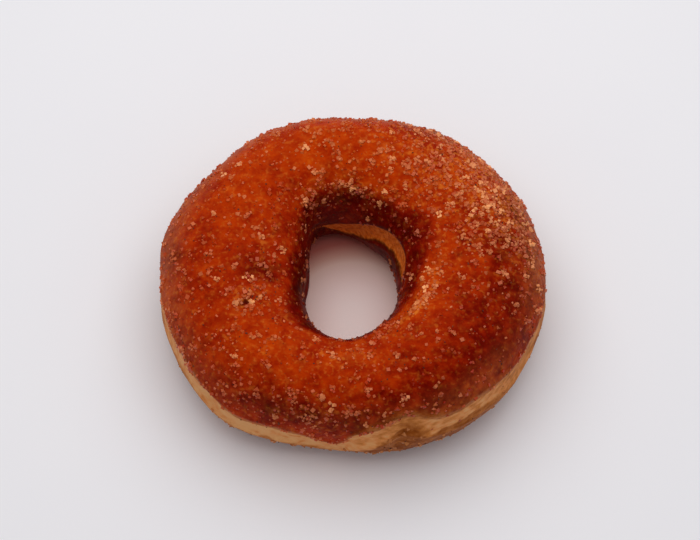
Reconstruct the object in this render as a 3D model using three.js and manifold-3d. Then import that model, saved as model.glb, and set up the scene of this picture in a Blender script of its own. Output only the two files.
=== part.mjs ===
// A cinnamon sugar ring doughnut: one fried yeast-dough ring, rolled in sugar while it was warm.
// Millimetres, +Z up. The origin is the middle of the ring's bounding box, on the surface it rests on.
// Ring angles are in degrees, 0 along +X and 90 along +Y. Section angles go round the dough from the
// outer waist (0) over the crest (90) to the hole's waist (180) and back along the underside (270).
import * as THREE from 'three';
import { mergeVertices } from 'three/addons/utils/BufferGeometryUtils.js';
import Module from 'manifold-3d';

// ---- driving dimensions, millimetres and degrees ----
const OUTER_HALF_X = 47.5;
const OUTER_HALF_Y = 43.6;
const HOLE_HALF_X = 11.2;
const HOLE_HALF_Y = 17.5;
const CREST_HEIGHT = 31;
const WAIST_HEIGHT = 15;
const SETTLE = 1.4;               // the round underside is pressed flat by this much
const OUTER_FULLNESS = 2.2;       // power of the section's curve: 2 is an ellipse, more is squarer
const HOLE_FULLNESS = 2.5;
const SHARP_SHOULDER = { at: 5, by: 0.5, wide: 50 };   // the hole's shoulder is squarer here
const HOLE_LEAN = { at: 25, by: 2.1, wide: 70 };       // the hole's wall leans back under its top
const CENTRE_X = 0.2;             // puts the middle of the uneven outline on the origin
const CENTRE_Y = -0.85;

// Where the outline stands out (+) or falls in (-) from its oval, by millimetres over some degrees.
const OUTER_SWELLS = [
  { at: 62, by: 1.3, wide: 22 },
  { at: 113, by: 1.6, wide: 24 },
  { at: 163, by: 1.1, wide: 20 },
  { at: 223, by: 1.8, wide: 17 },
  { at: 260, by: -1.6, wide: 19 },
  { at: 308, by: 0.6, wide: 18 },
  { at: 338, by: -0.5, wide: 14 },
];
const HOLE_SWELLS = [
  { at: 76, by: -1.5, wide: 18 },
  { at: 118, by: 3.9, wide: 24 },
  { at: 203, by: 1.2, wide: 20 },
  { at: 240, by: 2.2, wide: 24 },
  { at: 286, by: -1.1, wide: 18 },
];

// The proof line: the pale channel round the side, between the two fried crusts.
const LINE_HEIGHT = 15.6;
const LINE_DEPTH = 0.7;
const LINE_HALF = 3.2;
const LINE_SWELLS = [
  { at: 212, by: 1, wide: 16 },
  { at: 234, by: -2, wide: 10 },
  { at: 287, by: 5.2, wide: 9 },
  { at: 309, by: 2.5, wide: 12 },
];
const LINE_DIP = { at: 264, by: -6.2, before: 16, after: 4 };   // lopsided: its widths before and after
const HOLE_LINE_HEIGHT = 15.5;
const HOLE_LINE_DEPTH = 0.9;
const HOLE_LINE_SWELLS = [
  { at: 26, by: 3.6, wide: 36 },
  { at: 101, by: -6.8, wide: 20 },
];

// A slanting crease in the outer side, a small notch, and a low ridge that climbs along the hole's
// near shoulder.
const CREASE = { at: 281.6, lowZ: 7, turn: 0.42, depth: 1, wide: 3, midZ: 15, tall: 8 };
const NOTCH = { at: 221, z: 16, depth: 0.8, wide: 3.5, tall: 2.5 };
const RIDGE = { at: 314, wide: 22, section: 116, climb: 0.4, span: 7, height: 0.45 };

// Slow unevenness of the upper crust: height, waves round the ring, waves round the section, phases.
const WAVES = [
  { height: 0.32, round: 3, over: 1, phase: 40, shift: 60 },
  { height: 0.24, round: 5, over: 2, phase: 200, shift: 10 },
  { height: 0.18, round: 8, over: 3, phase: 95, shift: 140 },
];

// The dough's mesh: even steps round the ring, and closer section rows where the proof line runs.
const RING_STEPS = 92;
const SECTION_STRETCHES = [
  { from: -22, to: 24, rows: 9 },
  { from: 24, to: 156, rows: 13 },
  { from: 156, to: 204, rows: 7 },
  { from: 204, to: 338, rows: 10 },
];

// The coarsest sugar: crystals and clumps, half sunk in the crust.
const CRYSTAL_SMALL = 0.95;
const CRYSTAL_LARGE = 1.55;
const CRYSTAL_SIDES = [1, 0.82, 0.68];
const CRYSTAL_LIFT = 0.12;
const CRYSTAL_GAP = 2.5;
const CRYSTAL_LOWEST = 4.5;
const CRYSTAL_SECTIONS = { from: -40, to: 220 };   // none on the underside
const CRYSTAL_TRIES = 560;
const SUGAR_THIN = 0.3;           // share of the places that hold a crystal where sugar is thinnest
const SUGAR_DRIFTS = [
  { at: 30, wide: 46, section: 62, span: 46, more: 0.6 },
  { at: 84, wide: 26, section: 142, span: 18, more: 0.5 },
  { at: 190, wide: 34, section: 108, span: 20, more: 0.4 },
  { at: 316, wide: 26, section: 116, span: 14, more: 0.5 },
  { at: 272, wide: 34, section: 42, span: 18, more: 0.4 },
  { at: 196, wide: 24, section: 12, span: 18, more: 0.3 },
];
// Strides of an even spread: multiples of each, less their whole part, fill 0 to 1 without clumps.
const STRIDES = [0.7548776662, 0.569840291, 0.6180339887, 0.4142135624, 0.7320508076, 0.2360679775];

const WELD = 1e-5;                // corners closer than this are one corner

const CRUST = new THREE.MeshStandardMaterial({ color: 0x9c3f12, roughness: 0.55, metalness: 0 });

const radians = THREE.MathUtils.degToRad;

// The signed angle from one direction to another, -180 to 180 degrees.
function turnBetween(angle, from) {
  return THREE.MathUtils.euclideanModulo(angle - from + 180, 360) - 180;
}

// A smooth hump of height 1, which falls to 1/e at a distance of "wide".
function hump(distance, wide) {
  return Math.exp(-((distance / wide) ** 2));
}

// The sum of a list of swells at one ring angle.
function swell(list, ringAngle) {
  return list.reduce((sum, { at, by, wide }) => sum + by * hump(turnBetween(ringAngle, at), wide), 0);
}

// The radius of an oval in one direction.
function ovalRadius(ringAngle, halfX, halfY) {
  const angle = radians(ringAngle);
  return 1 / Math.hypot(Math.cos(angle) / halfX, Math.sin(angle) / halfY);
}

// A power that keeps the sign.
function signedPower(value, power) {
  return Math.sign(value) * Math.abs(value) ** power;
}

// The height of the outer proof line.
function lineHeight(ringAngle) {
  const along = turnBetween(ringAngle, LINE_DIP.at);
  const wide = along < 0 ? LINE_DIP.before : LINE_DIP.after;
  return LINE_HEIGHT + swell(LINE_SWELLS, ringAngle) + LINE_DIP.by * hump(along, wide);
}

// How far the crust stands out (+) or in (-) of the smooth section, at a place and height on it.
function relief(ringAngle, sectionAngle, height) {
  const across = Math.cos(radians(sectionAngle));
  const upward = Math.max(Math.sin(radians(sectionAngle)), 0);
  let out = 0;
  for (const { height: size, round, over, phase, shift } of WAVES) {
    const along = Math.sin(radians(round * ringAngle + phase));
    out += size * upward * along * Math.cos(radians(over * sectionAngle + shift));
  }
  if (across > 0) {
    const creaseAt = CREASE.at + CREASE.turn * (height - CREASE.lowZ);
    out -= LINE_DEPTH * hump(height - lineHeight(ringAngle), LINE_HALF);
    out -= CREASE.depth * hump(turnBetween(ringAngle, creaseAt), CREASE.wide)
      * hump(height - CREASE.midZ, CREASE.tall);
    out -= NOTCH.depth * hump(turnBetween(ringAngle, NOTCH.at), NOTCH.wide)
      * hump(height - NOTCH.z, NOTCH.tall);
  } else {
    const line = HOLE_LINE_HEIGHT + swell(HOLE_LINE_SWELLS, ringAngle);
    const along = turnBetween(ringAngle, RIDGE.at);
    out -= HOLE_LINE_DEPTH * hump(height - line, LINE_HALF);
    out += RIDGE.height * hump(along, RIDGE.wide)
      * hump(sectionAngle - RIDGE.section - RIDGE.climb * along, RIDGE.span);
  }
  return out;
}

// The point of the crust at a ring angle and a section angle.
function crustPoint(ringAngle, sectionAngle) {
  const outer = ovalRadius(ringAngle, OUTER_HALF_X, OUTER_HALF_Y) + swell(OUTER_SWELLS, ringAngle);
  const inner = ovalRadius(ringAngle, HOLE_HALF_X, HOLE_HALF_Y) + swell(HOLE_SWELLS, ringAngle);
  const across = Math.cos(radians(sectionAngle));
  const upward = Math.sin(radians(sectionAngle));
  const fullness = across > 0 ? OUTER_FULLNESS : HOLE_FULLNESS + swell([SHARP_SHOULDER], ringAngle);
  const rise = signedPower(upward, 2 / fullness);
  const drop = WAIST_HEIGHT + SETTLE;
  const lean = swell([HOLE_LEAN], ringAngle) * Math.max(-across, 0) * rise;
  let radius = (outer + inner) / 2 + (outer - inner) / 2 * signedPower(across, 2 / fullness) + lean;
  let height = WAIST_HEIGHT + rise * (rise > 0 ? CREST_HEIGHT - WAIST_HEIGHT : drop);
  const out = relief(ringAngle, sectionAngle, height);
  radius += out * across;
  height = Math.max(height + out * upward, 0);
  const angle = radians(ringAngle);
  return new THREE.Vector3(
    radius * Math.cos(angle) + CENTRE_X,
    radius * Math.sin(angle) + CENTRE_Y,
    height,
  );
}

// The section angles of the mesh's rows, stretch by stretch.
function sectionAngles() {
  const angles = [];
  for (const { from, to, rows } of SECTION_STRETCHES) {
    for (let row = 0; row < rows; row += 1) {
      angles.push(from + (to - from) * row / rows);
    }
  }
  return angles;
}

// The dough as a closed grid: ring steps by section rows, joined to itself both ways.
function doughGeometry() {
  const sections = sectionAngles();
  const rows = sections.length;
  const positions = [];
  const faces = [];
  for (let step = 0; step < RING_STEPS; step += 1) {
    const next = (step + 1) % RING_STEPS;
    for (let row = 0; row < rows; row += 1) {
      positions.push(...crustPoint(step * 360 / RING_STEPS, sections[row]).toArray());
      const a = step * rows + row;
      const b = next * rows + row;
      const c = next * rows + (row + 1) % rows;
      const d = step * rows + (row + 1) % rows;
      faces.push(a, b, c, a, c, d);
    }
  }
  const geometry = new THREE.BufferGeometry();
  geometry.setAttribute('position', new THREE.Float32BufferAttribute(positions, 3));
  geometry.setIndex(faces);
  return geometry;
}

// How likely a place is to hold a coarse crystal, from 0 to 1: thin all over, with drifts.
function sugarShare(ringAngle, sectionAngle) {
  let share = SUGAR_THIN;
  for (const { at, wide, section, span, more } of SUGAR_DRIFTS) {
    share += more * hump(turnBetween(ringAngle, at), wide) * hump(turnBetween(sectionAngle, section), span);
  }
  return Math.min(share, 1);
}

// Number k of an even spread over 0 to 1.
function spread(k, stride) {
  return (k * stride) % 1;
}

// The places of the coarse crystals: an even spread, thinned by sugarShare and by the ring's width.
function crystalPlaces() {
  const places = [];
  for (let k = 1; k <= CRYSTAL_TRIES; k += 1) {
    const [around, over, luck, size, turn, tip] = STRIDES.map((stride) => spread(k, stride));
    const ringAngle = around * 360;
    const sectionAngle = THREE.MathUtils.lerp(CRYSTAL_SECTIONS.from, CRYSTAL_SECTIONS.to, over);
    const point = crustPoint(ringAngle, sectionAngle);
    const radius = Math.hypot(point.x, point.y);
    const wanted = sugarShare(ringAngle, sectionAngle) * radius / OUTER_HALF_X;
    const free = places.every((place) => place.point.distanceTo(point) > CRYSTAL_GAP);
    if (luck < wanted && point.z > CRYSTAL_LOWEST && free) {
      places.push({ point, ringAngle, sectionAngle, size, turn, tip });
    }
  }
  return places;
}

// One crystal: a small block, turned, with its middle just outside the crust.
function crystalGeometry({ point, ringAngle, sectionAngle, size, turn, tip }) {
  const length = THREE.MathUtils.lerp(CRYSTAL_SMALL, CRYSTAL_LARGE, size);
  const geometry = new THREE.BoxGeometry(...CRYSTAL_SIDES.map((side) => side * length));
  geometry.rotateX(tip * Math.PI);
  geometry.rotateZ(turn * Math.PI);
  const across = Math.cos(radians(sectionAngle)) * CRYSTAL_LIFT;
  const angle = radians(ringAngle);
  geometry.translate(
    point.x + across * Math.cos(angle),
    point.y + across * Math.sin(angle),
    point.z + Math.sin(radians(sectionAngle)) * CRYSTAL_LIFT,
  );
  return geometry;
}

const wasm = await Module();
wasm.setup();

// A closed geometry as a solid that can be joined.
function toSolid(geometry) {
  geometry.deleteAttribute('normal');
  geometry.deleteAttribute('uv');
  const merged = mergeVertices(geometry, WELD);
  return new wasm.Manifold(new wasm.Mesh({
    numProp: 3,
    vertProperties: new Float32Array(merged.attributes.position.array),
    triVerts: new Uint32Array(merged.index.array),
  }));
}

// A solid back as a geometry.
function toGeometry(solid) {
  const mesh = solid.getMesh();
  const geometry = new THREE.BufferGeometry();
  geometry.setAttribute('position', new THREE.BufferAttribute(mesh.vertProperties, 3));
  geometry.setIndex(new THREE.BufferAttribute(mesh.triVerts, 1));
  geometry.computeVertexNormals();
  return geometry;
}

// The whole doughnut: the dough with its coarse sugar fused on.
function doughnut() {
  let solid = toSolid(doughGeometry());
  for (const place of crystalPlaces()) {
    solid = solid.add(toSolid(crystalGeometry(place)));
  }
  const mesh = new THREE.Mesh(toGeometry(solid), CRUST);
  mesh.name = 'doughnut';
  return mesh;
}

const group = new THREE.Group();
group.add(doughnut());

export default group;
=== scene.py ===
import bpy
import numpy as np
from mathutils import Matrix, Vector


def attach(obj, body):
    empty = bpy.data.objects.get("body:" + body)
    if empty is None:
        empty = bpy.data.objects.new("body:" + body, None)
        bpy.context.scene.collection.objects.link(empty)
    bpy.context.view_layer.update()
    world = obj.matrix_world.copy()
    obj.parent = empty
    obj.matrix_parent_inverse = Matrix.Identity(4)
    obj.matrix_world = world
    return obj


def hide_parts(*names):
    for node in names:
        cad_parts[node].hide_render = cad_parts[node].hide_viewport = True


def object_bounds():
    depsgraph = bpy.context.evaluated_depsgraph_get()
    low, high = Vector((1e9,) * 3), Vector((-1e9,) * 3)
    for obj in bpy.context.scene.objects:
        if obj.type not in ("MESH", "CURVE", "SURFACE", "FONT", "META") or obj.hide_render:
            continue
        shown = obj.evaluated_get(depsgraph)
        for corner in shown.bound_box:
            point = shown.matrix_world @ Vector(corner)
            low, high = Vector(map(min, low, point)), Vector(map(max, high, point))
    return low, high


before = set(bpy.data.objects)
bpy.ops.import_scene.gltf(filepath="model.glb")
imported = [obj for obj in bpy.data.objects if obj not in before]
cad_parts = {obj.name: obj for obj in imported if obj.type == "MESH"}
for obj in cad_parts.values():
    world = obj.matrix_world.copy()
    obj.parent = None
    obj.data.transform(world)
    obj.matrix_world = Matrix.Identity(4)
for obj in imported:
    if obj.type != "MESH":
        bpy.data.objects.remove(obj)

MM = 0.001
CAD_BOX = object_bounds()

# ---- the ring's form, as the frame's solid has it ----
OUTER_HALF_X = 47.5
OUTER_HALF_Y = 43.6
HOLE_HALF_X = 11.2
HOLE_HALF_Y = 17.5
CREST_HEIGHT = 31.0
WAIST_HEIGHT = 15.0
SETTLE = 1.4
OUTER_FULLNESS = 2.2
HOLE_FULLNESS = 2.5
SHARP_SHOULDER = [(5, 0.5, 50)]
HOLE_LEAN = [(25, 2.1, 70)]
CENTRE_X = 0.2
CENTRE_Y = -0.85

# Swells are rows of ring angle, size and width in degrees.
OUTER_SWELLS = [(62, 1.3, 22), (113, 1.6, 24), (163, 1.1, 20), (223, 1.8, 17), (260, -1.6, 19),
                (308, 0.6, 18), (338, -0.5, 14)]
HOLE_SWELLS = [(76, -1.5, 18), (118, 3.9, 24), (203, 1.2, 20), (240, 2.2, 24), (286, -1.1, 18)]

# The proof line round the outside and in the hole: its height, and where it climbs and dips.
LINE_HEIGHT = 15.6
LINE_DEPTH = 0.7
LINE_HALF = 3.2
LINE_SWELLS = [(212, 1.0, 16), (234, -2.0, 10), (287, 5.2, 9), (309, 2.5, 12)]
LINE_DIP = dict(at=264, by=-6.2, before=16, after=4)   # a lopsided dip, as widths before and after it
HOLE_LINE_HEIGHT = 15.5
HOLE_LINE_DEPTH = 0.9
HOLE_LINE_SWELLS = [(26, 3.6, 36), (101, -6.8, 20)]
LIP_HEIGHT = 0.22                 # the fried crust's edge stands out beside the line by this much
LIP_AT = 1.3                      # its distance from the line's middle, in half widths
LIP_WIDE = 0.28

CREASE = dict(at=281.6, low=7, turn=0.42, depth=1.0, wide=3, mid=15, tall=8)
NOTCH = dict(at=221, height=16, depth=0.8, wide=3.5, tall=2.5)
RIDGE = dict(at=314, wide=22, section=116, climb=0.4, span=6, height=0.45)

# Waves of the upper crust: height, waves round the ring, waves round the section, phases.
WAVES = [(0.32, 3, 1, 40, 60), (0.24, 5, 2, 200, 10), (0.18, 8, 3, 95, 140)]

# Layers of noise are rows of height, size in millimetres and seed. These are the fried skin's own.
SKIN_LAYERS = [(0.30, 9.0, 11), (0.14, 4.2, 12), (0.07, 1.9, 13)]
SKIN_ABOVE = (0.0, 3.0)           # the skin grows uneven between these heights above the table

# The crust's grid: even steps round the ring, and closer rows along the proof lines.
RING_STEPS = 600
SECTION_STRETCHES = [(-28, 28, 46), (28, 152, 60), (152, 208, 28), (208, 332, 26)]

# ---- the crust's colours ----
# How bright the crust is, from 0 to 1: zones of ring angle, width, section angle, span and change. Some are
# the crust's own uneven browning; others are painted light and shade, lighter on the far slope that faces the
# lamp and darker low on the near side, which turns away from it.
TONE_MIDDLE = 0.60
TONE_LAYERS = [(0.08, 14.0, 41), (0.08, 5.0, 42)]
TONE_AND_PAINTED_SHADE_ZONES = [
    (95, 60, 70, 45, 0.16),
    (200, 26, 95, 30, -0.10),
    (232, 20, 88, 24, 0.04),
    (315, 52, 50, 32, -0.28),
    (206, 2, 93, 4, -0.5),
    (250, 36, 28, 20, -0.34),
    (350, 34, 45, 40, -0.10),
    (40, 40, 62, 40, -0.13),
    (278, 4, -10, 12, -0.5),
    (184, 12, 105, 14, -0.18),
    (193, 8, 112, 12, -0.13),
    (212, 10, 92, 14, 0.15),
    (343, 22, 92, 22, -0.10),
    (8, 22, 76, 16, -0.08),
    (165, 60, 75, 50, -0.07),
    (130, 22, 72, 28, -0.06),
    (85, 75, 30, 22, -0.16),
    (306, 16, -9, 15, -0.45),
    (284, 12, -20, 10, -0.35),
    (288, 4, -8, 16, -0.45),
    (320, 22, 116, 7, 0.10),
    (353, 11, 52, 15, 0.09),
    (303, 15, -24, 11, -0.4),
    (287, 5.5, 8, 12, -0.4),
]
# Painted shade down the hole's slope: how much darker it is, the section angle where it begins, how much
# sooner or later that is round the ring, and how it wanders.
HOLE_SHADE = 0.42
HOLE_SHADE_AT = 142
HOLE_SHADE_SWELLS = [(24, -28, 26), (75, -5, 36), (330, -8, 22), (268, -12, 14), (228, -26, 24),
                     (180, -5, 20)]
HOLE_SHADE_LAYERS = [(4, 4.0, 43)]
HOLE_SHADE_BLUR = (-8, 10)        # it sets in between these section angles from its border
HOLE_SHADE_ENDS = (230, 260)      # and fades out again between these

# The pale line's half width as a share of the hollow's: outside, with swells, and in the hole.
PALE_HALF = 0.62
PALE_SWELLS = [(275, 0.6, 6), (294, 0.4, 6), (222, -0.22, 36)]
PALE_BELOW = [(226, 0.9, 42), (269, 1.0, 6), (334, 1.0, 13)]     # how much farther it reaches down than up
PALE_FAIR = [(236, 0.24, 42), (288, -0.15, 6), (306, 0.1, 16)]   # where it's lighter
PALE_BLUR = (0.6, 1.4)            # it ends between these shares of the half width
PALE_HALF_HOLE = 0.5
PALE_HALF_LEAST = 0.05
PALE_BLUR_HOLE = (0.7, 1.3)
PALE_WANDER_HOLE = 0.6            # how much its border wanders, as a share of the outer one's
PALE_HOLE_SWELLS = [(50, 0.36, 50), (90, 0.42, 15), (125, -1.1, 16)]
PALE_LAYERS = [(0.22, 3.0, 31), (0.14, 1.1, 32)]
# The crust is drawn down over the pale line beside the crease: how far beside it in degrees, and where.
FOLD = dict(share=0.9, beside=2.8, wide=4, height=12, tall=9)

# Beside the pale line the crust's brown is lighter. Heights are in millimetres.
BROWNED = (0.0, 4.2)              # from and to these heights above the pale line
BROWNED_ABOVE = (-1, 10)          # beginning between these heights above the table
BROWNED_THIN = [(336, 0.6, 12)]   # less of it here, as swells
BROWNED_LAYERS = [(0.8, 3.4, 33), (0.5, 1.3, 34)]
UNDER_LINE = (0.2, 1.0)           # brown begins this far under the line's middle, in its half widths
RESTING = (0.3, 4.0)              # and the resting face's brown ends between these heights
RESTING_LAYERS = [(0.6, 4.0, 35)]

# A tan colour is mixed into the outer slope.
HAZE_SHARE = 0.42
HAZE_ENDS = (30, 62)              # it thins out between these section angles
HAZE_ABOVE = (6, 12)              # and begins between these heights
HAZE_THIN = [(250, 0.95, 100), (338, 0.45, 14), (14, 0.25, 12)]   # less of it here, as swells

# Streaks in the pale line and the brown follow the ring: they run this short a way round, so they look
# long. Under the dough they're even, from the middle radius in and out.
FLOW_RADIUS = 20
FLOW_MIDDLE = 31
FLOW_LOW = (0, 6)                 # they turn even between these heights

# In the hole the pale dough turns to a lighter, more orange copy of its colours, painted light for the light
# in the hole, and back again, between these section angles.
HOLE_BEGINS = (120, 150)
HOLE_ENDS = (250, 280)

# Colours as sRGB: one, or the stops of a ramp from 0 to 1.
FRIED = [(0.0, "480401"), (0.25, "700801"), (0.5, "9c2002"), (0.75, "b93602"), (1.0, "cc5606")]
DOUGH = [(0.0, "9c5420"), (0.45, "c07638"), (0.72, "d88a4e"), (1.0, "dea268")]
# The same pale dough in the hole, lighter and more orange: painted light.
DOUGH_IN_HOLE_PAINTED_LIGHT = [(0.0, "c4540e"), (0.5, "e66e1e"), (1.0, "f48a3a")]
UNDER = [(0.0, "501c02"), (0.5, "86400c"), (1.0, "b8703a")]
FILM = "e8842c"                   # the finest sugar
HAZE = "c07a40"
SHEEN = "ff9040"                  # what little shines on the crust takes its colour
SUGAR = "ffb070"
CINNAMON = [(0.0, "3a1206"), (1.0, "7a3310")]
TABLE = ("f5f4f6", "f2f1f4")
BLACK = "000000"

# Painted shade and painted bounce colour on the table inside the ring, darker and redder towards the far
# wall, over the distance from the middle as a share of the half sizes below, and a painted glow for the
# little light that the crust throws there.
PAINTED_FLOOR_SHADE_AND_BOUNCE = [(0.1, "ffebe6"), (0.34, "ffe4de"), (0.55, "ffddd3"), (0.66, "fed8ca"), (0.76, "efb7a5"),
        (0.92, "d8796c")]
PAINTED_FLOOR_SHADE_AND_BOUNCE_HALF_X = 22
PAINTED_FLOOR_SHADE_AND_BOUNCE_HALF_Y = 21
PAINTED_FLOOR_SHADE_AND_BOUNCE_ENDS = (22, 34)              # it fades out between these radii, under the dough
PAINTED_BOUNCE_GLOW = "ffe4dc"
PAINTED_BOUNCE_GLOW_ENDS = (0.2, 0.85)         # it fades out between these shares
PAINTED_BOUNCE_GLOW_STRENGTH = 0.055

# ---- the coating ----
# Drifts are rows of ring angle, width, section angle, span and how much more sugar lies there.
SUGAR_DRIFTS = [
    (40, 36, 60, 42, 1.05),
    (92, 40, 139, 15, 0.85),
    (206, 5, 93, 9, 1.2),
    (186, 34, 110, 12, 0.40),
    (262, 9, 100, 8, 0.9),
    (323, 30, 117, 8, 1.3),
    (262, 34, 38, 16, 0.40),
    (16, 20, 58, 26, 0.55),
    (196, 24, 12, 16, 0.45),
    (318, 40, 45, 26, -0.14),
    (240, 120, 150, 20, 0.1),
]
SUGAR_THIN = 0.30                 # what lies between the drifts
SUGAR_LEAST = 0.03
SUGAR_IN_HOLE = 0.16              # so much less on the hole's dark slope,
SUGAR_IN_HOLE_BLUR = (-6, 14)     # setting in between these section angles from its border
SUGAR_ON_LINE = dict(lost=0.8, wide=0.8)               # the share missing on the proof lines
SUGAR_BELOW = dict(lost=0.7, but_at=286, wide=10)      # and under the outer one, but not at the crease
SUGAR_ABOVE = (1.0, 5.0)          # none at the table, and all of it above these heights
SCATTER_SECTIONS = (-62, 242)     # the coating lies between these section angles
SCATTER_TRIES = 14                # candidates for each place
SCATTER_PEAK = 0.7                # all candidates are kept above this share of the largest wish
SCATTER_ON_PALE = 0.9             # the share of them left out on the pale lines
GRAIN_COUNT = 3000
GRAIN_SIZE = 0.55
GRAIN_SPREAD = 0.30
GRAIN_LIMITS = (0.25, 0.95)
GRAIN_SIDES = (0.65, 1.15)        # each side's length as a share of the size
GRAIN_LIFT = -0.16                # a grain's middle stands this share of its size out of the crust
GRAIN_TINT = dict(middle=0.07, spread=0.08, drift=0.10, limits=(0.0, 0.5))
CLUMP_COUNT = 450
CLUMP_GRAINS = 5
CLUMP_RADIUS = 0.45
CLUMP_SIZE = dict(middle=0.62, spread=0.14, limits=(0.35, 1.0))
CLUMP_LIFT = (-0.15, 0.1)         # how far out of the crust its grains' middles lie
CLUMP_TINT = dict(shape=2.0, scale=0.13, plain=0.65, drift=0.70, spread=0.05, limits=(0.03, 0.85))
CINNAMON_COUNT = 1600
CINNAMON_SIZE = 0.28
CINNAMON_SPREAD = 0.4
CINNAMON_LIMITS = (0.1, 0.6)
CINNAMON_SIDES = (0.6, 1.4)
CINNAMON_LIFT = 0.1
BIT_UNEVEN = 0.05                 # how far a bit's corners stray, as a share of its size

# ---- camera, light and table ----
PHOTO_SIZE = (700, 540)
PHOTO_CENTRE = (354, 286)         # the pixel that shows the middle of the dough
PHOTO_SCALE = 4.06                # pixels to a millimetre at that point
VIEW_ELEVATION = 62.0
VIEW_DISTANCE = 780.0
SENSOR = 36.0
VIEW_NEAREST = 0.05               # the camera sees from here, in metres
VIEW_FARTHEST = 20                # to here
KEY_LAMP = dict(place=(0, 110, 400), size=600, power=1.45, tint=(1.0, 0.99, 0.99))
LAMP_TARGET = (0, 0, 10)
SURROUND = (0.97, 0.97, 1.0, 1)
SURROUND_STRENGTH = 0.42
TABLE_HALF = 1500.0
TABLE_TOP = -0.05                 # just under the dough, so that the two don't share a face


def turn_between(angle, start):
    """The signed angle from one direction to another, -180 to 180 degrees."""
    return (angle - start + 180) % 360 - 180


def hump(distance, wide):
    """A smooth hump of height 1 that falls to 1/e at the distance wide: exp(-(distance / wide) squared)."""
    return np.exp(-(distance / wide) ** 2)


def swell(rows, ring):
    """The sum of a list of swells at each ring angle."""
    return sum(size * hump(turn_between(ring, at), wide) for at, size, wide in rows)


def ease(value, low, high):
    """0 below low, 1 above high, and an S curve between them: t * t * (3 - 2 t)."""
    t = np.clip((value - low) / (high - low), 0, 1)
    return t * t * (3 - 2 * t)


def oval_radius(ring, half_x, half_y):
    """The radius of an oval: 1 / hypot(cos / half_x, sin / half_y)."""
    angle = np.radians(ring)
    return 1 / np.hypot(np.cos(angle) / half_x, np.sin(angle) / half_y)


def signed_power(value, power):
    """A power that keeps the sign."""
    return np.sign(value) * np.abs(value) ** power


def lattice_noise(points, size, seed):
    """Smooth noise, -1 to 1: random values on a cubic lattice, eased and blended between the eight
    corners round each point."""
    side = 32
    values = np.random.default_rng(seed).uniform(-1, 1, (side, side, side))
    place = points / size
    cell = np.floor(place).astype(int)
    part = place - cell
    part = part * part * (3 - 2 * part)
    total = 0.0
    for corner in np.ndindex(2, 2, 2):
        weight = np.prod(np.where(corner, part, 1 - part), axis=-1)
        i, j, k = np.moveaxis((cell + corner) % side, -1, 0)
        total = total + weight * values[i, j, k]
    return total


def layered_noise(points, layers):
    """The sum of layers of noise."""
    return sum(height * lattice_noise(points, size, seed) for height, size, seed in layers)


def outer_height(ring):
    """The height of the outer proof line's middle."""
    along = turn_between(ring, LINE_DIP["at"])
    wide = np.where(along < 0, LINE_DIP["before"], LINE_DIP["after"])
    return LINE_HEIGHT + swell(LINE_SWELLS, ring) + LINE_DIP["by"] * hump(along, wide)


def outer_line(ring, height):
    """How far a height is from the outer proof line's middle, in the line's half widths."""
    return (height - outer_height(ring)) / LINE_HALF


def hole_line(ring, height):
    """How far a height is from the hole's proof line, in the line's half widths."""
    return (height - HOLE_LINE_HEIGHT - swell(HOLE_LINE_SWELLS, ring)) / LINE_HALF


def crease_distance(ring, height):
    """The ring angle from the slanting crease, whose place turns with height."""
    return turn_between(ring, CREASE["at"] + CREASE["turn"] * (height - CREASE["low"]))


def channel(distance):
    """The proof line's hollow and the crust's lips beside it: a flat-bottomed dip, exp(-d to the 4th),
    and a narrow hump at LIP_AT on either side."""
    return -np.exp(-distance ** 4), LIP_HEIGHT * hump(np.abs(distance) - LIP_AT, LIP_WIDE)


def relief(ring, section, height):
    """How far the crust stands out of the smooth section: waves on top, the proof line and its lips,
    the crease and the notch outside, and the ridge on the hole's near shoulder."""
    across = np.cos(np.radians(section))
    upward = np.maximum(np.sin(np.radians(section)), 0)
    out = 0.0
    for size, round_, over, phase, shift in WAVES:
        along = np.sin(np.radians(round_ * ring + phase))
        out = out + size * upward * along * np.cos(np.radians(over * section + shift))
    dip, lip = channel(outer_line(ring, height))
    outside = LINE_DEPTH * dip + lip
    outside -= CREASE["depth"] * hump(crease_distance(ring, height), CREASE["wide"]) \
        * hump(height - CREASE["mid"], CREASE["tall"])
    outside -= NOTCH["depth"] * hump(turn_between(ring, NOTCH["at"]), NOTCH["wide"]) \
        * hump(height - NOTCH["height"], NOTCH["tall"])
    dip, lip = channel(hole_line(ring, height))
    inside = HOLE_LINE_DEPTH * dip + lip
    along = turn_between(ring, RIDGE["at"])
    inside += RIDGE["height"] * hump(along, RIDGE["wide"]) \
        * hump(section - RIDGE["section"] - RIDGE["climb"] * along, RIDGE["span"])
    return out + np.where(across > 0, outside, inside)


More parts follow.
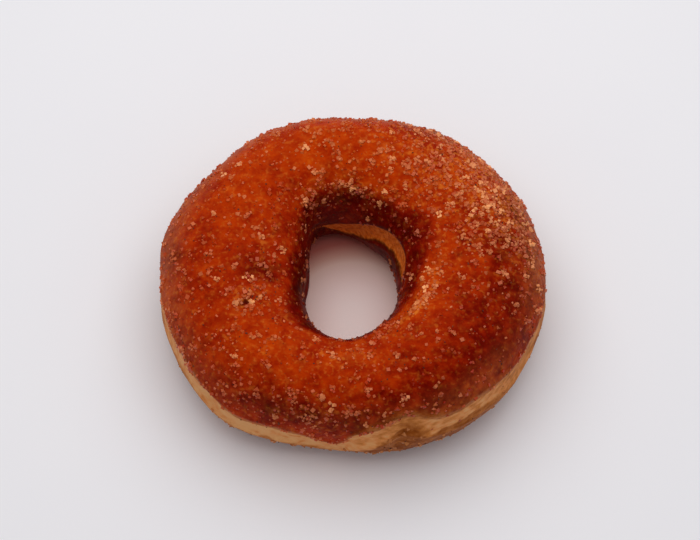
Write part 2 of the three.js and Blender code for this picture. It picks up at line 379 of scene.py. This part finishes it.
def crust(ring, section):
    """Points of the crust, in millimetres, at ring and section angles.

    The section is a superellipse between the outer and the hole's outlines, fuller towards the hole,
    whose underside is cut flat at height 0. Relief and skin noise move it along its own direction."""
    ring, section = np.broadcast_arrays(np.asarray(ring, float), np.asarray(section, float))
    outer = oval_radius(ring, OUTER_HALF_X, OUTER_HALF_Y) + swell(OUTER_SWELLS, ring)
    inner = oval_radius(ring, HOLE_HALF_X, HOLE_HALF_Y) + swell(HOLE_SWELLS, ring)
    across = np.cos(np.radians(section))
    upward = np.sin(np.radians(section))
    fullness = np.where(across > 0, OUTER_FULLNESS, HOLE_FULLNESS + swell(SHARP_SHOULDER, ring))
    rise = signed_power(upward, 2 / fullness)
    lean = swell(HOLE_LEAN, ring) * np.maximum(-across, 0) * rise
    radius = (outer + inner) / 2 + (outer - inner) / 2 * signed_power(across, 2 / fullness) + lean
    height = WAIST_HEIGHT + rise * np.where(rise > 0, CREST_HEIGHT - WAIST_HEIGHT, WAIST_HEIGHT + SETTLE)
    out = relief(ring, section, height)
    angle = np.radians(ring)
    place = np.stack([radius * np.cos(angle), radius * np.sin(angle), height], -1)
    out = out + ease(height, *SKIN_ABOVE) * layered_noise(place, SKIN_LAYERS)
    radius = radius + out * across
    height = np.maximum(height + out * upward, 0)
    return np.stack([radius * np.cos(angle) + CENTRE_X, radius * np.sin(angle) + CENTRE_Y, height], -1)


def above_pale(ring, height):
    """How far a height is above the outer pale line's upper border, in millimetres."""
    return height - outer_height(ring) - LINE_HALF * (PALE_HALF + swell(PALE_SWELLS, ring))


def pale_share(ring, section, points):
    """How pale the dough is, 0 to 1: the proof lines, with borders that wander by the noise."""
    wander = layered_noise(points, PALE_LAYERS)
    outside = outer_line(ring, points[..., 2])
    half = PALE_HALF + swell(PALE_SWELLS, ring)
    outside = np.abs(outside) / np.where(outside > 0, half, half + swell(PALE_BELOW, ring)) + wander
    fold = FOLD["share"] * hump(crease_distance(ring, points[..., 2]) - FOLD["beside"], FOLD["wide"]) \
        * hump(points[..., 2] - FOLD["height"], FOLD["tall"])
    inside = hole_line(ring, points[..., 2])
    half = np.maximum(PALE_HALF_HOLE + swell(PALE_HOLE_SWELLS, ring), PALE_HALF_LEAST)
    inside = np.abs(inside) / half + PALE_WANDER_HOLE * wander
    return np.where(np.cos(np.radians(section)) > 0, (1 - ease(outside, *PALE_BLUR)) * (1 - fold),
                    1 - ease(inside, *PALE_BLUR_HOLE))


def browned_share(ring, section, points):
    """How light the crust's brown is beside the outer pale line, 0 to 1: less above it and towards the
    table, with borders that wander."""
    wander = layered_noise(points, BROWNED_LAYERS)
    outside = np.cos(np.radians(section)) > 0
    share = 1 - ease(above_pale(ring, points[..., 2]) + wander, *BROWNED)
    share = share * ease(points[..., 2] + wander, *BROWNED_ABOVE) * (1 - swell(BROWNED_THIN, ring))
    return np.where(outside, share, 0)


def haze_share(ring, section, height):
    """How much tan is mixed into the outer slope: most at the side, thinning out towards the crest and below.
    """
    outside = np.cos(np.radians(section)) > 0
    share = HAZE_SHARE * np.maximum(1 - swell(HAZE_THIN, ring), 0) * (1 - ease(section, *HAZE_ENDS))
    return np.where(outside, share * ease(height, *HAZE_ABOVE), 0)


def under_share(ring, section, height):
    """0 on the upper crust and 1 under the outer proof line, where the crust is light brown."""
    outside = np.cos(np.radians(section)) > 0
    return np.where(outside, ease(-outer_line(ring, height), *UNDER_LINE), 0)


def resting_share(section, points):
    """1 on the face that rests on the table and a little way up from it, where the crust is brown too."""
    wander = layered_noise(points, RESTING_LAYERS)
    return np.where(np.sin(np.radians(section)) < 0, 1 - ease(points[..., 2] + wander, *RESTING), 0)


def zones(rows, ring, section):
    """The sum of humps over ring and section angles: rows of ring angle, width, section angle, span, size."""
    return sum(more * hump(turn_between(ring, at), wide) * hump(turn_between(section, mid), span)
               for at, wide, mid, span, more in rows)


def shade_border(ring):
    """The section angle where the painted shade down the hole's slope begins."""
    return HOLE_SHADE_AT + swell(HOLE_SHADE_SWELLS, ring)


def tone(ring, section, points):
    # The tone holds painted shade and light as well as the crust's own browning: painted shade down the hole
    # and low on the near side, painted light on the far slope.
    """How bright the fried crust is, 0 for the darkest and 1 for the most orange: listed zones, darker down
    the hole and low on the near side, with slow noise."""
    value = TONE_MIDDLE + layered_noise(points, TONE_LAYERS) + zones(TONE_AND_PAINTED_SHADE_ZONES, ring, section)
    border = shade_border(ring) + layered_noise(points, HOLE_SHADE_LAYERS)
    shade = ease(section - border, *HOLE_SHADE_BLUR) * (1 - ease(section, *HOLE_SHADE_ENDS))
    return np.clip(value - HOLE_SHADE * shade, 0, 1)


def sugar_share(ring, section, height):
    """How thick the sugar lies, 0 to about 2: thin all over, with drifts, none on the resting face and
    little under the waist and on the proof line."""
    in_hole = ease(section - shade_border(ring), *SUGAR_IN_HOLE_BLUR)
    share = SUGAR_THIN + zones(SUGAR_DRIFTS, ring, section)
    share = np.maximum(share - SUGAR_IN_HOLE * in_hole, SUGAR_LEAST)
    across = np.cos(np.radians(section))
    line = np.where(across > 0, outer_line(ring, height), hole_line(ring, height))
    on_line = 1 - SUGAR_ON_LINE["lost"] * hump(line, SUGAR_ON_LINE["wide"])
    crease = hump(turn_between(ring, SUGAR_BELOW["but_at"]), SUGAR_BELOW["wide"])
    below = 1 - SUGAR_BELOW["lost"] * under_share(ring, section, height) * (1 - crease)
    return share * on_line * ease(height, *SUGAR_ABOVE) * below


def mesh_piece(name, points, faces, smooth, finish):
    """A mesh object at the origin from points in millimetres and rows of vertex numbers."""
    mesh = bpy.data.meshes.new(name)
    count, corners = faces.shape
    mesh.vertices.add(len(points))
    mesh.vertices.foreach_set("co", (points * MM).astype(np.float32).ravel())
    mesh.loops.add(count * corners)
    mesh.loops.foreach_set("vertex_index", faces.astype(np.int32).ravel())
    mesh.polygons.add(count)
    mesh.polygons.foreach_set("loop_start", np.arange(0, count * corners, corners, dtype=np.int32))
    mesh.polygons.foreach_set("use_smooth", np.full(count, smooth))
    mesh.update(calc_edges=True)
    mesh.validate()
    mesh.materials.append(finish)
    piece = bpy.data.objects.new(name, mesh)
    bpy.context.scene.collection.objects.link(piece)
    return piece


def add_values(piece, name, values):
    """A number for each vertex, which the piece's material reads by name."""
    layer = piece.data.attributes.new(name, "FLOAT", "POINT")
    layer.data.foreach_set("value", values.astype(np.float32).ravel())


def add_vectors(piece, name, vectors):
    """A vector in metres for each vertex, from rows in millimetres."""
    layer = piece.data.attributes.new(name, "FLOAT_VECTOR", "POINT")
    layer.data.foreach_set("vector", (vectors * MM).astype(np.float32).ravel())


# ---- finishes ----
def colour(code):
    """A colour written as six hexadecimal digits of sRGB, as linear red, green, blue and alpha."""
    shares = [int(code[i:i + 2], 16) / 255 for i in (0, 2, 4)]
    return tuple(s / 12.92 if s <= 0.04045 else ((s + 0.055) / 1.055) ** 2.4 for s in shares) + (1.0,)


class Value:
    """An output of a node. Sums and products of it, and of plain numbers, add Math nodes."""

    def __init__(self, finish, output):
        self.finish = finish
        self.output = output

    def __add__(self, other):
        return self.finish.math("ADD", self, other)

    def __sub__(self, other):
        return self.finish.math("SUBTRACT", self, other)

    def __rsub__(self, other):
        return self.finish.math("SUBTRACT", other, self)

    def __mul__(self, other):
        return self.finish.math("MULTIPLY", self, other)

    __radd__ = __add__
    __rmul__ = __mul__


class Finish:
    """A node material in the making."""

    def __init__(self, name):
        self.material = bpy.data.materials.new(name)
        self.material.use_nodes = True
        self.tree = self.material.node_tree
        self.tree.nodes.clear()

    @staticmethod
    def pick(sockets, key):
        """A socket by its number, its identifier or its name."""
        if isinstance(key, int):
            return sockets[key]
        for socket in sockets:
            if socket.identifier == key:
                return socket
        return sockets[key]

    def node(self, kind, settings, sockets, output=0):
        """Adds a node: its settings first, then the values or links of its sockets. Gives one output."""
        node = self.tree.nodes.new("ShaderNode" + kind)
        for key, setting in settings.items():
            if key == "stops":
                while len(node.color_ramp.elements) < len(setting):
                    node.color_ramp.elements.new(0.5)
                for element, (position, code) in zip(node.color_ramp.elements, setting):
                    element.position = position
                    element.color = colour(code)
            else:
                setattr(node, key, setting)
        for key, value in sockets.items():
            socket = self.pick(node.inputs, key)
            if isinstance(value, Value):
                self.tree.links.new(value.output, socket)
            else:
                socket.default_value = value
        return Value(self, self.pick(node.outputs, output))

    def math(self, operation, *values):
        """A Math node on values and numbers."""
        return self.node("Math", {"operation": operation}, dict(enumerate(values)))

    def ease(self, value, low, high):
        """0 below low, 1 above high, and an S curve between them."""
        return self.node("MapRange", {"interpolation_type": "SMOOTHSTEP"},
                         {"Value": value, "From Min": low, "From Max": high})

    def mix(self, share, under, over):
        """One colour over another, by a share."""
        return self.node("Mix", {"data_type": "RGBA"},
                         {"Factor_Float": share, "A_Color": under, "B_Color": over}, "Result_Color")

    def ramp(self, stops, share):
        """The colour at a share of the way along a ramp."""
        return self.node("ValToRGB", {"stops": stops}, {"Fac": share}, "Color")

    def place(self):
        """The point on the piece, in metres."""
        return self.node("TexCoord", {}, {}, "Object")

    def noise(self, size, detail=2.0, roughness=0.55, place=None):
        """Noise with features of a size in millimetres, over the point on the piece or another place."""
        return self.node("TexNoise", {}, {"Vector": place or self.place(), "Scale": 1 / (size * MM),
                                          "Detail": detail, "Roughness": roughness}, "Fac")

    def attribute(self, name, output="Fac"):
        """A number or a colour kept on the piece's vertices."""
        return self.node("Attribute", {"attribute_name": name}, {}, output)

    def surface(self, sockets):
        """The shader and the material's output."""
        shader = self.node("BsdfPrincipled", {}, sockets)
        end = self.tree.nodes.new("ShaderNodeOutputMaterial")
        self.tree.links.new(shader.output, end.inputs["Surface"])
        return self.material


def crust_finish():
    """Fried crust from dark red-brown to orange by the tone, which carries painted shade and light as well as
    the crust's own browning, a pale proof line, and a film of the finest sugar in grains and smears, which
    thins where the tone is dark."""
    f = Finish("crust")
    tone_value = f.attribute("tone")
    pale = f.attribute("pale")
    dust = f.attribute("dust")
    fine = f.noise(0.6, 1.0) - 0.5
    small = f.noise(1.3, 1.0) - 0.5
    middle = f.noise(2.7, 1.0) - 0.5
    large = f.noise(5.5, 1.0) - 0.5
    mottle = fine * 0.18 + small * 0.32 + middle * 0.4 + large * (dust * 0.35 + 0.2)
    fried = f.ramp(FRIED, tone_value + mottle)
    streaks = f.noise(1.1, 3.0, 0.6, f.attribute("flow", "Vector"))
    streaked = f.ease(streaks, 0.25, 0.75)
    paler = f.ease(streaks * 0.6 + middle * 0.5 + 0.2 + f.attribute("fair"), 0.2, 0.8)
    # In the hole the pale dough takes its lighter copy, painted light.
    dough = f.mix(f.attribute("in_hole"), f.ramp(DOUGH, paler), f.ramp(DOUGH_IN_HOLE_PAINTED_LIGHT, streaked))
    browned = f.attribute("browned")
    brown = f.ramp(UNDER, streaked * 0.55 + tone_value - 0.38 + browned * 0.6)
    edge = pale + fine * 0.3 + small * 0.5
    browned = f.math("MAXIMUM", browned + small * browned, f.ease(edge, 0.0, 0.45))
    crusted = f.mix(f.math("MAXIMUM", f.attribute("under"), browned), fried, brown)
    hazed = f.mix(f.attribute("haze") * (1 + small * 1.5 + middle), crusted, colour(HAZE))
    base = f.mix(f.ease(edge, 0.3, 0.9), hazed, dough)
    patches = f.ease(f.noise(2.2, 2.0) + dust * 0.12, 0.5, 0.85)
    specks = f.ease(f.noise(1.1, 1.0) + dust * 0.06, 0.56, 0.74)
    filmed = (patches * (dust * 0.06 + 0.11) + specks * (dust * 0.2 + 0.09)) * (tone_value * 1.1 + 0.3)
    sugared = f.mix(filmed, base, colour(FILM))
    rise = fine * 0.8 + small * 0.8 + (patches + specks) * 0.4
    bump = f.node("Bump", {}, {"Strength": 0.5, "Distance": 0.25 * MM, "Height": rise}, "Normal")
    return f.surface({"Base Color": sugared, "Roughness": 0.5, "Normal": bump, "Specular IOR Level": 0.06,
                      "Specular Tint": colour(SHEEN)})


def sugar_finish():
    """Granulated sugar soaked with fat: the crust's colour shows through, more or less with the tint."""
    f = Finish("sugar")
    # The crust's tone under the grain, painted shade and light included, colours it too.
    fried = f.ramp(FRIED, f.attribute("tone") + 0.2)
    under = f.mix(f.attribute("under"), fried, colour(UNDER[-1][1]))
    return f.surface({"Base Color": f.mix(f.attribute("tint"), under, colour(SUGAR)), "Roughness": 0.32,
                      "Specular IOR Level": 0.2})


def cinnamon_finish():
    """Ground cinnamon: dark red-brown specks."""
    f = Finish("cinnamon")
    return f.surface({"Base Color": f.ramp(CINNAMON, f.attribute("tint")), "Roughness": 0.8})


def table_finish():
    """A pale matt surface with painted shade and painted bounce colour inside the ring, warmer and darker
    towards its far wall, where the crust shades it and throws its colour on it, and a faint painted glow
    there for the bounced light: the ramp runs over hypot(x, y) in the hole's own proportions."""
    f = Finish("table")
    plain = f.mix(f.noise(60.0, 2.0), colour(TABLE[0]), colour(TABLE[1]))
    place = f.place()
    x = f.node("SeparateXYZ", {}, {"Vector": place}, "X")
    y = f.math("MAXIMUM", f.node("SeparateXYZ", {}, {"Vector": place}, "Y"), 0.0)
    scaled = f.node("CombineXYZ", {}, {"X": x * (1 / (PAINTED_FLOOR_SHADE_AND_BOUNCE_HALF_X * MM)), "Y": y * (1 / (PAINTED_FLOOR_SHADE_AND_BOUNCE_HALF_Y * MM))})
    reach = f.node("VectorMath", {"operation": "LENGTH"}, {0: scaled}, "Value")
    away = f.node("VectorMath", {"operation": "LENGTH"}, {0: place}, "Value")
    within = 1 - f.ease(away, PAINTED_FLOOR_SHADE_AND_BOUNCE_ENDS[0] * MM, PAINTED_FLOOR_SHADE_AND_BOUNCE_ENDS[1] * MM)
    # A faint glow emitted on the table inside the ring: painted bounce light.
    painted_bounce_glow = f.mix(within * (1 - f.ease(reach, *PAINTED_BOUNCE_GLOW_ENDS)), colour(BLACK), colour(PAINTED_BOUNCE_GLOW))
    return f.surface({"Base Color": f.mix(within, plain, f.ramp(PAINTED_FLOOR_SHADE_AND_BOUNCE, reach)), "Roughness": 0.7,
                      "Specular IOR Level": 0.2, "Emission Color": painted_bounce_glow,
                      "Emission Strength": PAINTED_BOUNCE_GLOW_STRENGTH})


# ---- pieces ----
def section_angles():
    """The section angles of the crust's rows, stretch by stretch."""
    return np.concatenate([np.linspace(start, end, rows, endpoint=False)
                           for start, end, rows in SECTION_STRETCHES])


def make_crust():
    """The whole crust as one closed grid, joined to itself round the ring and round the section."""
    sections = section_angles()
    rows = len(sections)
    ring, section = np.meshgrid(np.arange(RING_STEPS) * 360 / RING_STEPS, sections, indexing="ij")
    points = crust(ring, section)
    height = points[..., 2]
    number = np.arange(RING_STEPS * rows).reshape(RING_STEPS, rows)
    onward = np.roll(number, -1, axis=0)
    faces = np.stack([number, onward, np.roll(onward, -1, axis=1), np.roll(number, -1, axis=1)], -1)
    piece = mesh_piece("dough_ring", points.reshape(-1, 3), faces.reshape(-1, 4), True, crust_finish())
    add_values(piece, "tone", tone(ring, section, points))
    add_values(piece, "pale", pale_share(ring, section, points))
    add_values(piece, "browned", browned_share(ring, section, points))
    add_values(piece, "haze", haze_share(ring, section, height))
    add_values(piece, "dust", sugar_share(ring, section, height))
    angle = np.radians(ring)
    flow = np.hypot(points[..., 0], points[..., 1]) - FLOW_MIDDLE
    flow = FLOW_RADIUS + (1 - ease(height, *FLOW_LOW)) * flow
    add_vectors(piece, "flow", np.stack([flow * np.cos(angle), flow * np.sin(angle), height], -1))
    add_values(piece, "fair", swell(PALE_FAIR, ring))
    under = np.maximum(under_share(ring, section, height), resting_share(section, points))
    add_values(piece, "under", under)
    add_values(piece, "in_hole", ease(section, *HOLE_BEGINS) * (1 - ease(section, *HOLE_ENDS)))
    return piece


def scatter(count, seed, power):
    """Ring and section angles of places in the coating: even over the surface, thinned where little
    sugar lies and on the pale lines. Candidates are kept when a draw is under their share of area and
    sugar, whose power above 1 gathers them in the drifts."""
    rng = np.random.default_rng(seed)
    tries = count * SCATTER_TRIES
    ring = rng.uniform(0, 360, tries)
    section = rng.uniform(*SCATTER_SECTIONS, tries)
    here = crust(ring, section)
    along = crust(ring + 0.5, section) - here
    over = crust(ring, section + 1.0) - here
    area = np.linalg.norm(np.cross(along, over), axis=-1)
    wanted = area * sugar_share(ring, section, here[:, 2]) ** power
    wanted = wanted * (1 - SCATTER_ON_PALE * pale_share(ring, section, here))
    kept = np.nonzero(rng.uniform(0, wanted.max() * SCATTER_PEAK, tries) < wanted)[0][:count]
    return ring[kept], section[kept]


def outward(ring, section):
    """Unit directions out of the crust, from two short steps along it."""
    along = crust(ring + 0.4, section) - crust(ring - 0.4, section)
    over = crust(ring, section + 0.8) - crust(ring, section - 0.8)
    normal = np.cross(along, over)
    return normal / np.linalg.norm(normal, axis=-1, keepdims=True)


def random_turns(rng, count):
    """Even random rotations as matrices, from unit quaternions."""
    w, x, y, z = np.moveaxis(rng.normal(size=(count, 4)), -1, 0)
    s = 2 / (w * w + x * x + y * y + z * z)
    return np.stack([
        np.stack([1 - s * (y * y + z * z), s * (x * y - z * w), s * (x * z + y * w)], -1),
        np.stack([s * (x * y + z * w), 1 - s * (x * x + z * z), s * (y * z - x * w)], -1),
        np.stack([s * (x * z - y * w), s * (y * z + x * w), 1 - s * (x * x + y * y)], -1),
    ], 1)


# A sugar crystal is a block and a cinnamon speck a flat diamond, each 1 across before its size is set.
BLOCK_CORNERS = np.array([[x, y, z] for x in (-0.5, 0.5) for y in (-0.5, 0.5) for z in (-0.5, 0.5)])
BLOCK_FACES = np.array([[0, 1, 3, 2], [4, 6, 7, 5], [0, 4, 5, 1], [2, 3, 7, 6], [0, 2, 6, 4], [1, 5, 7, 3]])
SPECK_CORNERS = np.array([[0.5, 0, 0], [-0.5, 0, 0], [0, 0.5, 0], [0, -0.5, 0], [0, 0, 0.3], [0, 0, -0.3]])
SPECK_FACES = np.array([[0, 2, 4], [2, 1, 4], [1, 3, 4], [3, 0, 4],
                        [2, 0, 5], [1, 2, 5], [3, 1, 5], [0, 3, 5]])


def make_bits(name, corners, bit_faces, places, sizes, sides, seed, finish, values):
    """Many small solids in one mesh: a shape's corners, stretched, turned and carried to each place.
    Values are named rows of one number for each. One that would stand out of the frame's box is left out."""
    rng = np.random.default_rng(seed)
    count = len(places)
    shape = corners + rng.normal(0, BIT_UNEVEN, (count,) + corners.shape)
    shape = shape * (sizes[:, None] * rng.uniform(*sides, (count, 3)))[:, None, :]
    turned = np.einsum("nij,nkj->nki", random_turns(rng, count), shape)
    points = turned + places[:, None, :]
    low, high = (np.array(corner) / MM for corner in CAD_BOX)
    kept = ((points > low) & (points < high)).all(axis=(1, 2))
    first = np.arange(kept.sum()) * len(corners)
    faces = (bit_faces + first[:, None, None]).reshape(-1, bit_faces.shape[1])
    piece = mesh_piece(name, points[kept].reshape(-1, 3), faces, False, finish)
    for key, row in values.items():
        add_values(piece, key, np.repeat(row[kept], len(corners)))
    return piece


def coat_values(ring, section, here, tints):
    """What a grain's finish reads: its tint, the crust's tone under it, painted shade included, and the
    browning under it.
    """
    return {"tint": tints, "tone": tone(ring, section, here),
            "under": under_share(ring, section, here[:, 2])}


def make_grains(rng, finish):
    """Loose grains of sugar all over. Their sizes are GRAIN_SIZE times e to a normal draw."""
    ring, section = scatter(GRAIN_COUNT, 52, 1.0)
    here = crust(ring, section)
    sizes = np.clip(GRAIN_SIZE * np.exp(rng.normal(0, GRAIN_SPREAD, len(ring))), *GRAIN_LIMITS)
    places = here + outward(ring, section) * (sizes * GRAIN_LIFT)[:, None]
    tints = rng.normal(GRAIN_TINT["middle"], GRAIN_TINT["spread"], len(ring))
    tints = tints + GRAIN_TINT["drift"] * sugar_share(ring, section, here[:, 2])
    values = coat_values(ring, section, here, np.clip(tints, *GRAIN_TINT["limits"]))
    return make_bits("sugar_grains", BLOCK_CORNERS, BLOCK_FACES, places, sizes, GRAIN_SIDES, 53,
                     finish, values)


def make_clumps(rng, finish):
    """Clumps of larger grains, strewn along the crust round each place. A clump's grains share a draw of
    the tint, which is brighter in the drifts."""
    ring, section = np.repeat(scatter(CLUMP_COUNT, 54, 1.5), CLUMP_GRAINS, axis=1)
    here = crust(ring, section)
    facing = outward(ring, section)
    shift = rng.normal(0, CLUMP_RADIUS, here.shape)
    shift = shift - facing * (shift * facing).sum(-1, keepdims=True)
    sizes = rng.normal(CLUMP_SIZE["middle"], CLUMP_SIZE["spread"], len(here))
    places = here + shift + facing * rng.uniform(*CLUMP_LIFT, (len(here), 1))
    shared = rng.gamma(CLUMP_TINT["shape"], CLUMP_TINT["scale"], CLUMP_COUNT)
    shared = np.repeat(shared, CLUMP_GRAINS)[:len(here)]
    tints = shared * (CLUMP_TINT["plain"] + CLUMP_TINT["drift"] * sugar_share(ring, section, here[:, 2]))
    tints = tints + rng.normal(0, CLUMP_TINT["spread"], len(here))
    values = coat_values(ring, section, here, np.clip(tints, *CLUMP_TINT["limits"]))
    return make_bits("sugar_clumps", BLOCK_CORNERS, BLOCK_FACES, places,
                     np.clip(sizes, *CLUMP_SIZE["limits"]), GRAIN_SIDES, 55, finish, values)


def make_cinnamon():
    """Ground cinnamon among the sugar."""
    rng = np.random.default_rng(61)
    ring, section = scatter(CINNAMON_COUNT, 62, 0.8)
    here = crust(ring, section)
    sizes = np.clip(CINNAMON_SIZE * np.exp(rng.normal(0, CINNAMON_SPREAD, len(ring))), *CINNAMON_LIMITS)
    places = here + outward(ring, section) * (sizes * CINNAMON_LIFT)[:, None]
    return make_bits("cinnamon_specks", SPECK_CORNERS, SPECK_FACES, places, sizes, CINNAMON_SIDES, 63,
                     cinnamon_finish(), {"tint": rng.uniform(0, 1, len(ring))})


# ---- surroundings ----
def make_table():
    """A wide flat surface under the doughnut."""
    corners = [(-1, -1), (1, -1), (1, 1), (-1, 1)]
    points = np.array([[x * TABLE_HALF, y * TABLE_HALF, TABLE_TOP] for x, y in corners])
    table = mesh_piece("table_top", points, np.array([[0, 1, 2, 3]]), False, table_finish())


def aim(lamp, place, target):
    """Puts a lamp at a place, in millimetres, shining at a target."""
    lamp.location = Vector(place) * MM
    lamp.rotation_euler = (Vector(target) - Vector(place)).to_track_quat("-Z", "Y").to_euler()


def make_lamp(name, place, size, power, tint):
    """A soft square lamp aimed at the doughnut."""
    data = bpy.data.lights.new(name, "AREA")
    data.shape = "SQUARE"
    data.size = size * MM
    data.energy = power
    data.color = tint
    lamp = bpy.data.objects.new(name, data)
    bpy.context.scene.collection.objects.link(lamp)
    aim(lamp, place, LAMP_TARGET)


def make_light():
    """A large soft lamp above and a little behind, and a pale surround."""
    make_lamp("key_lamp", **KEY_LAMP)
    world = bpy.data.worlds.new("surround")
    world.use_nodes = True
    surround = world.node_tree.nodes["Background"].inputs
    surround["Color"].default_value = SURROUND
    surround["Strength"].default_value = SURROUND_STRENGTH
    bpy.context.scene.world = world
    bpy.context.scene.view_settings.view_transform = "Standard"


def make_camera():
    """A long lens at the photograph's angle, set so that the dough's middle falls on its pixel."""
    data = bpy.data.cameras.new("camera")
    data.sensor_width = SENSOR
    data.lens = SENSOR * PHOTO_SCALE * VIEW_DISTANCE / PHOTO_SIZE[0]
    data.clip_start = VIEW_NEAREST
    data.clip_end = VIEW_FARTHEST
    camera = bpy.data.objects.new("camera", data)
    bpy.context.scene.collection.objects.link(camera)
    tilt = np.radians(VIEW_ELEVATION)
    back = Vector((0, -np.cos(tilt), np.sin(tilt)))
    up = Vector((0, np.sin(tilt), np.cos(tilt)))
    right = Vector((1, 0, 0))
    aside = (PHOTO_CENTRE[0] - PHOTO_SIZE[0] / 2) / PHOTO_SCALE
    lower = (PHOTO_CENTRE[1] - PHOTO_SIZE[1] / 2) / PHOTO_SCALE
    target = Vector((CENTRE_X, CENTRE_Y, WAIST_HEIGHT)) - right * aside + up * lower
    camera.location = (target + back * VIEW_DISTANCE) * MM
    camera.rotation_euler = Matrix((right, up, back)).transposed().to_euler()
    bpy.context.scene.camera = camera


dough = make_crust()
sugar_draws = np.random.default_rng(51)
sugar = sugar_finish()
grains = make_grains(sugar_draws, sugar)
clumps = make_clumps(sugar_draws, sugar)
cinnamon = make_cinnamon()
for piece, slot in ((dough, "crust"), (grains, "sugar"), (clumps, "sugar"), (cinnamon, "cinnamon")):
    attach(piece, "root")
    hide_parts("doughnut")
make_table()
make_light()
make_camera()
